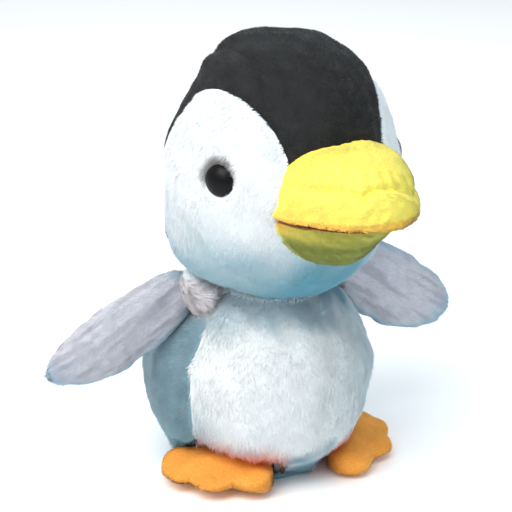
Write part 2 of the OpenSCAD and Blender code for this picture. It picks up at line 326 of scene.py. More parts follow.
warmTint, coolTint = (240, 170, 128), (126, 184, 204)
pileLook = {"rough": 0.85, "sheenRough": 0.5, "patchSize": 28.0}
clothLook = {"rough": 0.9, "depth": 0.5}
glossLook = {"rough": 0.4, "specular": 0.15, "coat": 0.03, "coatRough": 0.12}


def pileMaterial(name, root, tip, patch, blush=warmTint, cool=coolTint, patches=0.3, spread=0.16, sheen=0.2):
    material, add, shader = shaderMaterial(name)
    tone = group(add, pileTone, Root=srgb(*root), Tip=srgb(*tip), Patch=srgb(*patch), Blush=srgb(*blush),
                 Cool=srgb(*cool), Spread=spread, Patches=patches, Patch_size=pileLook["patchSize"])
    material.node_tree.links.new(tone.outputs["Color"], shader.inputs["Base Color"])
    shader.inputs["Roughness"].default_value = pileLook["rough"]
    shader.inputs["Sheen Weight"].default_value = sheen
    shader.inputs["Sheen Roughness"].default_value = pileLook["sheenRough"]
    shader.inputs["Sheen Tint"].default_value = (1, 1, 1, 1)
    return material


def clothMaterial(name, cloth, dip, like=None, knit=900.0, sheen=0.1):
    # like names the pile whose blush and cool tints it shares
    material, add, shader = shaderMaterial(name)
    tints = pileColours.get(like, {})
    blush, cool = tints.get("blush", warmTint), tints.get("cool", coolTint)
    tone = group(add, clothTone, Cloth=srgb(*cloth), Dip=srgb(*dip), Blush=srgb(*blush), Cool=srgb(*cool),
                 Knit=knit, Depth=clothLook["depth"])
    material.node_tree.links.new(tone.outputs["Color"], shader.inputs["Base Color"])
    material.node_tree.links.new(tone.outputs["Normal"], shader.inputs["Normal"])
    shader.inputs["Roughness"].default_value = clothLook["rough"]
    shader.inputs["Sheen Weight"].default_value = sheen
    return material


def glossMaterial(name, dark, light):
    material, add, shader = shaderMaterial(name)
    coord = add("ShaderNodeTexCoord")
    noise = add("ShaderNodeTexNoise", {"Vector": coord.outputs["Object"], "Scale": 140.0, "Detail": 2.0})
    colour = mix(add, noise.outputs["Fac"], srgb(*dark), srgb(*light))
    material.node_tree.links.new(colour, shader.inputs["Base Color"])
    shader.inputs["Roughness"].default_value = glossLook["rough"]
    shader.inputs["Specular IOR Level"].default_value = glossLook["specular"]
    shader.inputs["Coat Weight"].default_value = glossLook["coat"]
    shader.inputs["Coat Roughness"].default_value = glossLook["coatRough"]
    return material


# in every pile the root colour is darker than the tip, as painted shade deep in the pile
pileColours = {
    # white: the cool colour is painted shade, the blush painted reflected light from the feet
    "white": dict(root=(222, 231, 235), tip=(246, 248, 248), patch=(220, 232, 237), blush=(236, 104, 52),
                  cool=(84, 138, 158), patches=0.4, spread=0.08, sheen=0.06),
    # face: the cool colour is painted shade low on the cheek and under the bill, the blush painted shade over
    # the eyes
    "face": dict(root=(224, 233, 238), tip=(246, 248, 249), patch=(220, 232, 238), blush=(66, 50, 50),
                 cool=(80, 150, 170), patches=0.35, spread=0.06, sheen=0.05),
    # side: the cool tint it takes by default is painted light low down; its blush is the pile's own paler
    # colour at the shoulder
    "side": dict(root=(76, 106, 118), tip=(132, 160, 170), patch=(74, 112, 126), blush=(236, 228, 230),
                 patches=0.8),
    # tuft: the blush is painted shade low on the shoulder tuft
    "tuft": dict(root=(214, 214, 219), tip=(244, 241, 242), patch=(230, 220, 224), blush=(210, 170, 172),
                 patches=0.7),
    "black": dict(root=(2, 4, 6), tip=(9, 13, 16), patch=(31, 36, 38), patches=0.6, spread=0.7, sheen=0.03),
    # yellow: the cool colour is painted shade on the lower bill; the blush is painted shade along the upper
    # bill's mouth line, and on the lower bill a warmer tint near the mouth's corner
    "yellow": dict(root=(252, 232, 84), tip=(255, 246, 128), patch=(252, 234, 92), blush=(214, 118, 44),
                   cool=(112, 126, 50), patches=0.4, spread=0.05, sheen=0.05),
    # orange: the blush is painted shade near the body
    "orange": dict(root=(246, 152, 48), tip=(255, 184, 82), patch=(248, 162, 62), blush=(206, 110, 40),
                   patches=0.5, spread=0.06, sheen=0.05),
    # satin: the cool colour is painted shade along the rim; the blush gives the flipper's streaks their own
    # darker colour
    "satin": dict(root=(184, 188, 198), tip=(226, 225, 231), patch=(200, 197, 211), blush=(112, 106, 122),
                  cool=(112, 176, 202), patches=0.6, spread=0.14, sheen=0.25),
}
piles = {name: pileMaterial(name + "Pile", **tones) for name, tones in pileColours.items()}
# each cloth's second colour is painted shade, for the dips of the knit
cloths = {
    "white": clothMaterial("whiteCloth", (236, 242, 245), (212, 224, 230), "white"),
    "face": clothMaterial("faceCloth", (236, 242, 245), (212, 224, 230), "face"),
    "side": clothMaterial("sideCloth", (124, 150, 160), (98, 126, 138), "side"),
    "black": clothMaterial("blackCloth", (26, 28, 30), (10, 11, 12)),
    "yellow": clothMaterial("yellowCloth", (253, 234, 90), (244, 214, 64), "yellow"),
    "orange": clothMaterial("orangeCloth", (248, 166, 68), (230, 138, 46), "orange"),
    "satin": clothMaterial("satinCloth", (196, 200, 210), (170, 176, 190), "satin", sheen=0.3),
    "felt": clothMaterial("mouthFelt", (176, 66, 26), (112, 34, 14), knit=1500.0),
}
eyeGloss = glossMaterial("eyeGloss", (1, 1, 2), (5, 5, 6))
washerPlastic = glossMaterial("washerPlastic", (214, 210, 196), (228, 226, 214))
print("materials ready")


# pile: short closed tufts laid over a skin

def tuftShape(bends):
    # one three-sided tuft, its outline laid flat for its own patch of the surface map
    bm = bmesh.new()
    bmesh.ops.create_cone(bm, cap_ends=True, segments=3, radius1=1, radius2=0, depth=1)
    bmesh.ops.remove_doubles(bm, verts=bm.verts[:], dist=1e-5)
    if bends:
        rising = [e for e in bm.edges if abs(e.verts[0].co.z - e.verts[1].co.z) > 0.5]
        bmesh.ops.subdivide_edges(bm, edges=rising, cuts=bends)
    bmesh.ops.translate(bm, verts=bm.verts[:], vec=(0, 0, 0.5))
    bm.verts.index_update()
    rows = places(bm)
    corners, sizes, flat = [], [], []
    for face in bm.faces:
        sizes.append(len(face.verts))
        middle = face.calc_center_median()
        turn = math.atan2(middle.y, middle.x)
        for corner in face.loops:
            co = corner.vert.co
            corners.append(corner.vert.index)
            if face.normal.z < -0.9:
                flat.append((0.875 + 0.1 * co.x, 0.5 + 0.3 * co.y))
                continue
            strip = round((turn + math.pi) / (2 * math.pi) * 3) % 3
            swing = (math.atan2(co.y, co.x) - turn + math.pi) % (2 * math.pi) - math.pi
            swing = 0 if co.z > 0.99 else swing
            flat.append((0.125 + 0.25 * strip + 0.1 * swing, 0.06 + 0.88 * co.z))
    bm.free()
    return rows, np.array(corners), np.array(sizes), np.array(flat)


def readRows(items, label, kind=float):
    rows = np.zeros(len(items) * 3, kind)
    items.foreach_get(label, rows)
    return rows.reshape(-1, 3)


def paint(mesh, label, values):
    made = mesh.attributes.new(label, "FLOAT", "POINT")
    made.data.foreach_set("value", np.clip(values, 0, 1).astype(np.float32))


def scatter(skin, perArea, rng):
    # evenly spread points on a skin, each with the skin's own normal
    mesh = skin.data
    mesh.calc_loop_triangles()
    tris = readRows(mesh.loop_triangles, "vertices", int)
    co = readRows(mesh.vertices, "co")
    normal = readRows(mesh.vertices, "normal")
    a, b, c = co[tris[:, 0]], co[tris[:, 1]], co[tris[:, 2]]
    area = np.linalg.norm(np.cross(b - a, c - a), axis=1) / 2
    count = int(area.sum() * perArea / mm ** 2)
    marks = (np.arange(count) + rng.uniform(0, 1, count)) / count * area.sum()
    pick = np.minimum(np.searchsorted(np.cumsum(area), marks), len(area) - 1)
    s, t = rng.uniform(0, 1, count), rng.uniform(0, 1, count)
    over = s + t > 1
    s[over], t[over] = 1 - s[over], 1 - t[over]
    r = 1 - s - t
    chosen = tris[pick]
    spot = sum(w[:, None] * co[chosen[:, i]] for i, w in enumerate((r, s, t)))
    out = unit(sum(w[:, None] * normal[chosen[:, i]] for i, w in enumerate((r, s, t))))
    return spot, out


floorBand = 12 * mm  # pile this low may point any way
floorGap = 0.3 * mm


def layPile(name, skin, material, flow, seed, perArea=1.6, length=2.6, width=0.5, bends=0, lift=(50, 15),
            wander=0.25, clump=0.3, clumpSize=7, sink=0.4, soft=0.85, lowest=-2, keep=None, blush=None,
            cool=None):
    # flow gives each point the way its pile lies; keep drops points; blush and cool say how far it is tinted
    rng = np.random.default_rng(seed)
    rows, corners, sizes, flat = tuftShape(bends)
    spot, out = scatter(skin, perArea, rng)
    # none points down out of the hollow over a foot
    kept = (out[:, 2] > lowest) | (spot[:, 2] < floorBand)
    if keep is not None:
        kept &= keep(spot)
    spot, out = spot[kept], out[kept]
    count = len(spot)
    way = unit(flow(spot, out)) + wander * waves(spot, 22 * mm, seed) + 0.16 * rng.normal(size=(count, 3))
    way = unit(way - out * (way * out).sum(1, keepdims=True))
    size = length * mm * rng.uniform(0.75, 1.2, count) * (1 + 0.12 * waves(spot, 11 * mm, seed + 1)[:, 0])
    size = size[:, None]
    gather = waves(spot, clumpSize * mm, seed + 2)
    gather -= out * (gather * out).sum(1, keepdims=True)
    steep, low = (math.radians(a) for a in lift)
    jitter = rng.uniform(0.7, 1.3, (count, 1))
    root = spot - out * sink * mm
    middle = root + size / 2 * (way * np.cos(steep * jitter) + out * np.sin(steep * jitter))
    tip = middle + size / 2 * (way * np.cos(low * jitter) + out * np.sin(low * jitter))
    tip += gather * clump * size * 0.5
    side = unit(np.cross(out, way))
    thick = unit(np.cross(unit(tip - root), side))
    thin = width * mm * rng.uniform(0.7, 1.3, (count, 1))
    levels = rows[:, 2]
    points = np.zeros((count, len(rows), 3))
    normals = np.zeros_like(points)
    for i, (x, y, z) in enumerate(rows):
        centre = root + (middle - root) * min(1, 2 * z) if z <= 0.5 else middle + (tip - middle) * (2 * z - 1)
        if not bends:
            centre = root + (tip - root) * z
        around = side * x + thick * y * 0.6
        points[:, i] = centre + around * thin
        normals[:, i] = unit(out * soft + around * (1 - soft))
    points[:, :, 2] = np.maximum(points[:, :, 2], floorGap)
    total = count * len(rows)
    mesh = bpy.data.meshes.new(name)
    mesh.vertices.add(total)
    mesh.vertices.foreach_set("co", points.reshape(-1))
    mesh.loops.add(count * len(corners))
    first = (np.arange(count) * len(rows))[:, None]
    mesh.loops.foreach_set("vertex_index", (corners[None, :] + first).reshape(-1))
    mesh.polygons.add(count * len(sizes))
    starts = np.concatenate([[0], np.cumsum(sizes)[:-1]])
    loopFirst = (np.arange(count) * len(corners))[:, None]
    mesh.polygons.foreach_set("loop_start", (starts[None, :] + loopFirst).reshape(-1))
    mesh.update(calc_edges=True)
    mesh.shade_smooth()
    mesh.normals_split_custom_set_from_vertices(normals.reshape(-1, 3).tolist())
    paint(mesh, "along", np.tile(levels, count))
    mood = np.clip(rng.uniform(0, 1, count) * 0.6 + 0.2 + 0.2 * waves(spot, 9 * mm, seed + 3)[:, 1], 0, 1)
    paint(mesh, "chance", np.repeat(mood, len(rows)))
    for label, amountOf in (("blush", blush), ("cool", cool)):
        if amountOf is not None:
            paint(mesh, label, np.repeat(amountOf(spot), len(rows)))
            # the cloth between the tufts has the same tint
            paint(skin.data, label, amountOf(np.array([v.co for v in skin.data.vertices])))
    columns = math.ceil(math.sqrt(count))
    cell = np.stack([np.arange(count) % columns, np.arange(count) // columns], axis=1)
    layer = mesh.uv_layers.new(name="OFBake")
    layer.data.foreach_set("uv", ((cell[:, None, :] + flat[None, :, :]) / columns).reshape(-1))
    mesh.materials.append(material)
    obj = bpy.data.objects.new(name, mesh)
    scene.collection.objects.link(obj)
    return obj


def toward(x, y, z):
    return lambda spot, out: np.tile([x, y, z], (len(spot), 1)).astype(float)


# body and head skins

seams = {"depth": 1.1, "width": 3.0, "lumps": 0.8, "lumpSize": 38, "lumpFade": 8, "inset": 1.6,
         "pileOver": 2.5}


def egg(at, r, high, low, segments, rings, turn=None):
    bm = ball(segments, rings)
    rows = places(bm) * [r, r, 1]
    rows[:, 2] *= np.where(rows[:, 2] > 0, high, low)
    if turn is not None:
        rows = rows @ np.array(turn).T
    place(bm, rows + np.array(at))
    return bm


def splitSkin(bm, names, kindOf, seed):
    # sinks the seams, adds soft lumps, and makes one skin for each panel
    kinds = [kindOf(f.calc_center_median()) for f in bm.faces]
    bm.faces.index_update()
    # the seam between two pale panels of the head lies under the pile
    tone = ["pale" if kind.startswith(("face", "chin")) else kind for kind in kinds]
    border = [e for e in bm.edges if len({tone[f.index] for f in e.link_faces}) > 1]
    line = [(e.verts[0].co + e.verts[1].co) / 2 for e in border]
    line += [v.co.copy() for e in border for v in e.verts]
    tree = treeOf(line)
    far = np.array([tree.find(v.co)[2] for v in bm.verts])
    rows = places(bm)
    dip = -seams["depth"] * mm * np.exp(-(far / (seams["width"] * mm)) ** 2)
    fade = np.minimum(1, far / (seams["lumpFade"] * mm))
    lumps = seams["lumps"] * mm * waves(rows, seams["lumpSize"] * mm, seed)[:, 0] * fade
    swell(bm, dip + lumps - seams["inset"] * mm)
    panels = {}
    for name in names:
        part = bm.copy()
        part.faces.ensure_lookup_table()
        gone = [f for f in part.faces if kinds[f.index] != name]
        bmesh.ops.delete(part, geom=gone, context="FACES")
        panels[name] = part
    bm.free()
    return panels


def cutAway(bm, at, normal):
    everything = bm.verts[:] + bm.edges[:] + bm.faces[:]
    bmesh.ops.bisect_plane(bm, geom=everything, plane_co=at, plane_no=normal, clear_outer=True)


def cutLine(bm, at, normal, wanted=None):
    faces = [f for f in bm.faces if wanted is None or wanted(f.calc_center_median())]
    # in a fixed order, so that every run cuts the same way
    geom = dict.fromkeys(faces)
    for f in faces:
        geom.update(dict.fromkeys(f.verts))
        geom.update(dict.fromkeys(f.edges))
    bmesh.ops.bisect_plane(bm, geom=list(geom), plane_co=at, plane_no=normal)


billClear = 20 * mm  # the face's round seam stops this far from the middle
backFace = 25 * mm
faceCut = {"count": 40, "half": 0.082, "reach": 5}


def headKind(p):
    q = headTurn.inverted() @ (p - headAt)
    behind = seams["pileOver"] * mm if p.y > faceAt.y + backFace else 0
    if math.hypot(p.y - faceAt.y + behind, p.z - faceAt.z) < faceR and abs(p.x) > billClear:
        return "face_panel_right" if p.x < 0 else "face_panel_left"
    backSeam = chinBack - (chinTop - q.z) * chinSlope - 1.5 * seams["pileOver"] * mm
    if q.z < chinTop and q.y < backSeam:
        return "chin_panel"
    if abs(p.x) < gussetHalf:
        return "crown_gusset"
    return "cap_side_right" if p.x < 0 else "cap_side_left"


def onFaceSeam(p, a):
    # near the face's round seam, at the turn a round it
    turn = (math.atan2(p.z - faceAt.z, p.y - faceAt.y) - a + math.pi) % (2 * math.pi) - math.pi
    off = math.hypot(p.y - faceAt.y, p.z - faceAt.z) - faceR
    return abs(turn) < faceCut["half"] and abs(off) < faceCut["reach"] * mm and abs(p.x) > billClear


chinTop = jawLocal.z
chinBack = math.sqrt(faceR ** 2 - (faceAt.z - headAt.z - chinTop) ** 2) + (faceAt.y - headAt.y)
chinSlope = 0.185

head = egg(headAt, headR, headUp, headUp, 168, 112, headTurn)
for x in (-gussetHalf, gussetHalf):
    cutLine(head, (x, 0, 0), (1, 0, 0), lambda p: p.z > headAt.z - 20 * mm or p.y > headAt.y)
for k in range(faceCut["count"]):
    a = 2 * math.pi * k / faceCut["count"]
    normal = Vector((0, math.cos(a), math.sin(a)))
    cutLine(head, Vector((0, faceAt.y, faceAt.z)) + normal * faceR, normal, lambda p, a=a: onFaceSeam(p, a))
cutAway(head, neckAt + lean * 3 * mm, -lean)
headNames = ["crown_gusset", "cap_side_right", "cap_side_left", "face_panel_right", "face_panel_left",
             "chin_panel"]

eyeTip, eyeOut = {}, {}
for side in outward:
    tips = [v.co.copy() for v in frame["nodes"]["eye_" + side].data.vertices]
    tip = max(tips, key=lambda co: (co - headAt).length)
    q = headTurn.inverted() @ (tip - headAt)
    eyeTip[side] = tip
    eyeOut[side] = (headTurn @ Vector((q.x / headR ** 2, q.y / headR ** 2, q.z / headUp ** 2))).normalized()

eyeSocket = {"depth": 3.2, "width": 9.5, "behind": 4}
rows = places(head)
socket = np.zeros(len(rows))
for side in outward:
    middle = eyeTip[side] - eyeOut[side] * eyeSocket["behind"] * mm
    away = np.linalg.norm(rows - np.array(middle), axis=1)
    socket -= eyeSocket["depth"] * mm * np.exp(-(away / (eyeSocket["width"] * mm)) ** 2)
swell(head, socket)
headSkins = splitSkin(head, headNames, headKind, 11)

headForm = {"crown": 0.06, "cheek": 0.3}


def fuller(rows):
    # narrower over the crown, and fuller low down at the cheeks and the back
    q = (rows - np.array(headAt)) @ np.array(headTurn)
    backward = q[:, 1] / np.maximum(np.hypot(q[:, 0], q[:, 1]), 1e-6)
    crown = smooth(q[:, 2], 0, 30 * mm) * (0.45 + 0.55 * smooth(backward, -0.75, 0.0))
    crown *= 1 - 1.8 * smooth(q[:, 2], 40 * mm, 60 * mm)
    cheek = smooth(q[:, 2], -12 * mm, -66 * mm) * smooth(backward, -0.5, 0.15)
    q[:, :2] *= (1 - headForm["crown"] * crown + headForm["cheek"] * cheek)[:, None]
    return q @ np.array(headTurn).T + np.array(headAt)


for part in headSkins.values():
    place(part, fuller(places(part)))
for side in outward:
    eyeTip[side] = Vector(fuller(np.array([eyeTip[side]]))[0])


bellyTurn = 69
bodyForm = {"corner": 0.07, "facing": -0.53, "spread": 0.3}


def bodyKind(p):
    if math.degrees(math.atan2(abs(p.x), -p.y)) < bellyTurn:
        return "belly_panel"
    return "back_panel_right" if p.x < 0 else "back_panel_left"


footShape = {"lobes": [(9, -15, 12), (16, 3, 14), (14, 20, 13), (6, 0, 13), (4, 12, 11)], "centre": (7, 3),
             "height": 9, "tilt": {"right": 0.16, "left": 0.06}, "rootRise": {"right": 9, "left": 6},
             "out": {"right": 0, "left": 5}, "stretch": {"right": 1.0, "left": 1.05}}


def footReach(turns, grow=0):
    # how far the outline of the toes is from the foot's centre, each way round
    cx, cy = footShape["centre"]
    reach = np.zeros(len(turns))
    for x, y, r in footShape["lobes"]:
        dx, dy = x - cx, y - cy
        along = dx * np.cos(turns) + dy * np.sin(turns)
        off = dx * np.sin(turns) - dy * np.cos(turns)
        hit = along + np.sqrt(np.maximum((r + grow) ** 2 - off ** 2, 0))
        reach = np.maximum(reach, np.where(np.abs(off) < r + grow, hit, 0))
    return reach * mm


def footPlane(rows, side):
    # distance out from the foot's seam, and across it, for points in the frame
    out = Vector((footAt[side].x, footAt[side].y, 0)).normalized()
    across = Vector((-out.y, out.x, 0)) * outward[side]
    flat = rows - np.array([footAt[side].x, footAt[side].y, 0])
    return flat @ np.array(out), flat @ np.array(across), out, across


def liftOverFeet(rows):
    rows = rows.copy()
    for side in outward:
        u, v, _, _ = footPlane(rows, side)
        cx, cy = (c * mm for c in footShape["centre"])
        turns = np.arctan2(v - cy, u - cx)
        beyond = np.hypot(u - cx, v - cy) - footReach(turns, 1.5)
        share = smooth(beyond, 4 * mm, 0) * (rows[:, 2] < 30 * mm)
        wanted = (footShape["height"] + footShape["rootRise"][side] + 1.4) * mm + np.maximum(u, 0) * 0.3
        rows[:, 2] += share * np.maximum(wanted - rows[:, 2], 0)
    return rows


body = egg(bodyAt, bodyR, bodyUp, bodyDown, 168, 112)
for turn in (-bellyTurn, bellyTurn):
    x, y = math.sin(math.radians(turn)), -math.cos(math.radians(turn))
    cutLine(body, (0, 0, 0), (y, -x, 0), lambda p: p.x * x > 0)
cutLine(body, (0, 0, 0), (1, 0, 0), lambda p: p.y > 0)
cutAway(body, neckAt - lean * 1 * mm, lean)
cutAway(body, (0, 0, 2.2 * mm), -up)
place(body, liftOverFeet(places(body)))
bodySkins = splitSkin(body, ["belly_panel", "back_panel_right", "back_panel_left"], bodyKind, 12)
for part in bodySkins.values():
    # pulled in a little, low down towards the corners of the belly
    rows = places(part)
    facing = rows[:, 1] / np.maximum(np.hypot(rows[:, 0], rows[:, 1]), 1e-6)
    low = smooth(rows[:, 2], 10 * mm, 28 * mm) * (1 - smooth(rows[:, 2], 45 * mm, 68 * mm))
    corner = np.exp(-((facing - bodyForm["facing"]) / bodyForm["spread"]) ** 2)
    rows[:, :2] *= (1 - bodyForm["corner"] * low * corner)[:, None]
    place(part, rows)
print("skins cut")


def clothPiece(node, part, clothName, bodyName):
    skin = meshObject(node + ".skin", part, cloths[clothName])
    centre = headAt if bodyName == "head" else bodyAt
    mesh = skin.data
    if sum((f.center - centre).dot(f.normal) for f in mesh.polygons) < 0:
        mesh.flip_normals()
    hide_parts(node)
    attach(skin, bodyName)
    return skin


def dressed(node, skin, pileName, bodyName, slot, flow, seed, **how):
    coat = layPile(node + ".pile", skin, piles[pileName], flow, seed, **how)
    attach(coat, bodyName)
    return coat


longPile = dict(perArea=3.4, length=5.0, width=0.32, lift=(20, 9), clump=0.16, wander=0.16, soft=0.93)
shortPile = dict(perArea=3.3, length=2.5, width=0.28, lift=(32, 14), clump=0.2, wander=0.15, soft=0.9)
facePile = {**shortPile, "length": 3.4}
sidePile = {**longPile, "length": 4.2}


def aboveFloor(spot):
    return spot[:, 2] > 3.2 * mm


def faceFlow(spot, out):
    # away from the bill and down the cheek
    fromBill = spot - np.array([0, headAt.y - headR, headAt.z])
    return unit(fromBill) * 0.6 + np.array([0, -0.1, -0.9])


def aroundEye(spot, side):
    # each point from the eye's tip, and the same flat across the way the eye looks
    rel = spot - np.array(eyeTip[side])
    return rel, rel - np.outer(rel @ np.array(eyeOut[side]), np.array(eyeOut[side]))


def eyeClear(spot):
    clear = np.ones(len(spot), bool)
    for side in outward:
        flat = aroundEye(spot, side)[1]
        # the pile overlaps the top of the eye a little, like a lid
        clear &= np.linalg.norm(flat - [0, 0, -2.0 * mm], axis=1) > 6.8 * mm
    return clear


def headShade(spot):
    # painted shade: a cool tint that grows down the cheek and is strongest under the bill
    z = spot[:, 2] + 4 * mm * waves(spot, 30 * mm, 5)[:, 0]
    cheek = 0.66 * smooth(z, 166 * mm, 120 * mm)
    return cheek + 0.3 * smooth(np.abs(spot[:, 0]), 42 * mm, 8 * mm) * smooth(z, 156 * mm, 132 * mm)


def eyeShade(spot):
    # painted shade: a soft dark smudge over the eye, where the lid and socket shade it
    near = np.zeros(len(spot))
    for side in outward:
        rel, flat = aroundEye(spot, side)
        flat = flat - [0, 0.4 * mm, 3.0 * mm]
        beside = np.linalg.norm(rel, axis=1) < 22 * mm
        near = np.maximum(near, beside * smooth(np.linalg.norm(flat, axis=1), 11.5 * mm, 7.0 * mm))
    return 0.85 * near


def nearFeet(spot, reach=14):
    near = np.zeros(len(spot))
    for side in outward:
        u, v, _, _ = footPlane(spot, side)
        cx, cy = (c * mm for c in footShape["centre"])
        beyond = np.hypot(u - cx, v - cy) - footReach(np.arctan2(v - cy, u - cx))
        above = spot[:, 2] - (footShape["height"] + footShape["rootRise"][side] + 5) * mm
        near = np.maximum(near, smooth(np.maximum(beyond, 0) + np.maximum(above, 0), reach * mm, 0))
    return near


def bodyShade(spot):
    # painted shade: cool low down, on the way round to the side, and in the shadow under the chin
    low = smooth(spot[:, 2] + 5 * mm * waves(spot, 26 * mm, 6)[:, 0], 40 * mm, 4 * mm)
    sideways = smooth(spot[:, 0], 4 * mm, 50 * mm)
    turned = np.arctan2(-spot[:, 0], -spot[:, 1])
    edge = smooth(turned, math.radians(44), math.radians(66)) * smooth(spot[:, 2], 62 * mm, 30 * mm)
    top = smooth(spot[:, 2] + 3 * mm * waves(spot, 20 * mm, 8)[:, 0], 84 * mm, 102 * mm)
    shade = np.maximum(0.95 * low * (1 - nearFeet(spot, 9)), 0.55 * sideways)
    return np.clip(np.maximum(shade, 0.5 * edge) + 0.62 * top, 0, 0.9)


def shoulderPale(spot):
    # the side's pile turns pale where the shoulder meets the neck
    return 0.95 * smooth(spot[:, 2], 88 * mm, 99 * mm) * smooth(spot[:, 1], 34 * mm, 14 * mm)


def bellyFootReflection(spot):
    # painted reflected light: the belly's pile turns orange just above the feet
    return 0.95 * nearFeet(spot, 17) ** 1.5


def sideShade(spot):
    # painted light: the side panels turn paler and bluer low down
    return 0.5 * smooth(spot[:, 2], 40 * mm, 8 * mm)


firstSeed = 21
for seed, (node, part) in enumerate(headSkins.items(), firstSeed):
    dark = node.startswith(("crown", "cap"))
    skin = clothPiece(node, part, "black" if dark else "face", "head")
    if dark:
        dressed(node, skin, "black", "head", "black_plush", toward(0, 1, -0.25), seed, **shortPile)
    elif node == "chin_panel":
        dressed(node, skin, "face", "head", "white_plush", toward(0, 0.25, -1), seed, cool=headShade,
                **facePile)
    else:
        dressed(node, skin, "face", "head", "white_plush", faceFlow, seed, keep=eyeClear, cool=headShade,
                blush=eyeShade, **facePile)
for seed, (node, part) in enumerate(bodySkins.items(), firstSeed + len(headSkins)):
    if node == "belly_panel":
        skin = clothPiece(node, part, "white", "torso")
        dressed(node, skin, "white", "torso", "white_plush", toward(0, -0.1, -1), seed, keep=aboveFloor,
                blush=bellyFootReflection, cool=bodyShade, lowest=-0.6, **longPile)
    else:
        skin = clothPiece(node, part, "side", "torso")
        dressed(node, skin, "side", "torso", "grey_plush", toward(0, 1, -0.5), seed, keep=aboveFloor,
                blush=shoulderPale, cool=sideShade, lowest=-0.6, **sidePile)
print("head and body dressed")


# bill

bill = {"smile": 0.15, "smileFrom": 42, "wrinkle": 0.25, "fold": 2.2, "rays": 1.0, "lowerDrop": 3.1,
        # the fold's place from the middle to the lip, for each turn away from straight ahead
        "foldLine": [(-1.4, 0.93), (-0.9, 0.9), (-0.65, 0.865), (-0.45, 0.91), (-0.22, 0.865), (0.1, 0.87),
                     (0.58, 0.96), (1.2, 0.97)],
        "upper": {"plan": 2.05, "slope": (3.4, 0.8), "height": 32.8, "lip": (13, 5.4), "wide": 35.2,
                  "ahead": 4.0},
        "lower": {"plan": 1.8, "slope": (2.1, 1.2), "height": 27.5, "lip": (8.5, 1.6), "wide": 33.8,
                  "ahead": 3.5}}
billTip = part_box("upper_bill_cover")[0].y
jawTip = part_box("lower_bill_cover")[0].y
billRoot = 0.73 * headR


def smileRise(ahead):
    # the mouth's line rises towards the tip
    return bill["smile"] * np.maximum(0, ahead - bill["smileFrom"] * mm)


def mouthLift(p):
    return smileRise(-p[:, 1])


def billShell(rho, ahead, height, lip, slope):
    # a blunt lip round the edge, from lip[0] at the face to lip[1] at the tip, and a slope up to the middle
    lip = lip[0] + (lip[1] - lip[0]) * np.clip(ahead, 0, 1)
    edge = np.sqrt(np.clip(1 - rho ** 8, 0, 1))
    return lip * edge + (height - lip) * np.clip(1 - rho ** slope[0], 0, 1) ** slope[1]


def billForm(form, reach, above, under, segments=128, rings=96):
    # a closed form about the forward axis, in the head's own frame; above and under are (height, lip)
    bm = ball(segments, rings)
    rows = places(bm)
    forward = np.clip(rows[:, 2], -1, 1)
    around = np.arctan2(rows[:, 1], rows[:, 0])
    t = np.arcsin(np.maximum(forward, 0))
    power = 2 / form["plan"]
    ahead = np.sin(t) ** power
    x = np.sign(np.cos(around)) * np.abs(np.cos(around)) ** power * np.cos(t) ** power
    rho = np.clip((np.abs(x) ** form["plan"] + ahead ** form["plan"]) ** (1 / form["plan"]), 0, 1)
    top = billShell(rho, ahead, *above, form["slope"])
    z = np.where(np.sin(around) > 0, top, -billShell(rho, ahead, *under, form["slope"])) * mm
    behind = np.sqrt(1 - np.minimum(forward, 0) ** 2)
    y = -(billRoot + (reach - billRoot) * ahead + 8 * mm * np.minimum(forward, 0))
    lift = smileRise(-y)
    place(bm, np.stack([x * behind * form["wide"] * mm, y, z * behind + lift + jawLocal.z], axis=1))
    return bm


def foldUpper(bm, reach):
    # the fold above the lip, and the short creases that run up from it
    rows = places(bm)
    form = bill["upper"]
    x = rows[:, 0] / (form["wide"] * mm)
    ahead = np.maximum(0, (-rows[:, 1] - billRoot) / (reach - billRoot))
    rho = (np.abs(x) ** form["plan"] + ahead ** form["plan"]) ** (1 / form["plan"])
    turn = np.arctan2(x, np.maximum(ahead, 1e-3))
    line = np.interp(turn, *zip(*bill["foldLine"]))
    front = smooth(ahead, 0.1, 0.4) * (rows[:, 2] - jawLocal.z - mouthLift(rows) > 3 * mm)
    fold = -np.exp(-((rho - line) / 0.026) ** 2) + 0.6 * np.exp(-((rho - line - 0.06) / 0.035) ** 2)
    turn += 0.02 * waves(rows, 9 * mm, 38)[:, 0]
    rays = -np.exp(-(np.sin(12 * turn) / 0.35) ** 2) * np.exp(-((rho - line + 0.07) / 0.08) ** 2)
    swell(bm, (bill["fold"] * fold + bill["rays"] * rays) * front * mm)


def toHead(bm):
    place(bm, places(bm) @ np.array(headTurn).T + np.array(headAt))


def wrinkle(bm, seed, size, height):
    rows = places(bm)
    fine = np.abs(waves(rows * [1, 0.45, 1], size * mm, seed)[:, 0])
    broad = waves(rows, 3.2 * size * mm, seed + 1)[:, 1]
    swell(bm, (0.6 - fine) * height * mm + broad * height * 1.3 * mm)


def billMouthShade(spot):
    # painted shade: deeper yellow low on the lip and in the folds, near the mouth line
    rise = spot[:, 2] - jawAt.z - smileRise(headAt.y - spot[:, 1])
    return 0.45 * smooth(rise, 2.4 * mm, 0.4 * mm) + 0.07 * smooth(rise, 14 * mm, 4 * mm)


def outsideHead(spot):
    q = (spot - np.array(headAt)) @ np.array(headTurn)
    return np.linalg.norm(q / [headR, headR, headUp], axis=1) > 0.985


def upperSewn(p):
    return (p[:, 1] > -56 * mm) | (np.abs(p[:, 2] - jawLocal.z - mouthLift(p)) < 2.5 * mm)


def lowerSewn(p):
    return (p[:, 1] > -60 * mm) | (p[:, 2] - jawLocal.z - mouthLift(p) > -5.5 * mm)


def lowerBlush(spot):
    near = smooth(spot[:, 2], jawAt.z - 8 * mm, jawAt.z - 1 * mm)
    return 0.6 * near * smooth(spot[:, 1], -84 * mm, -66 * mm)


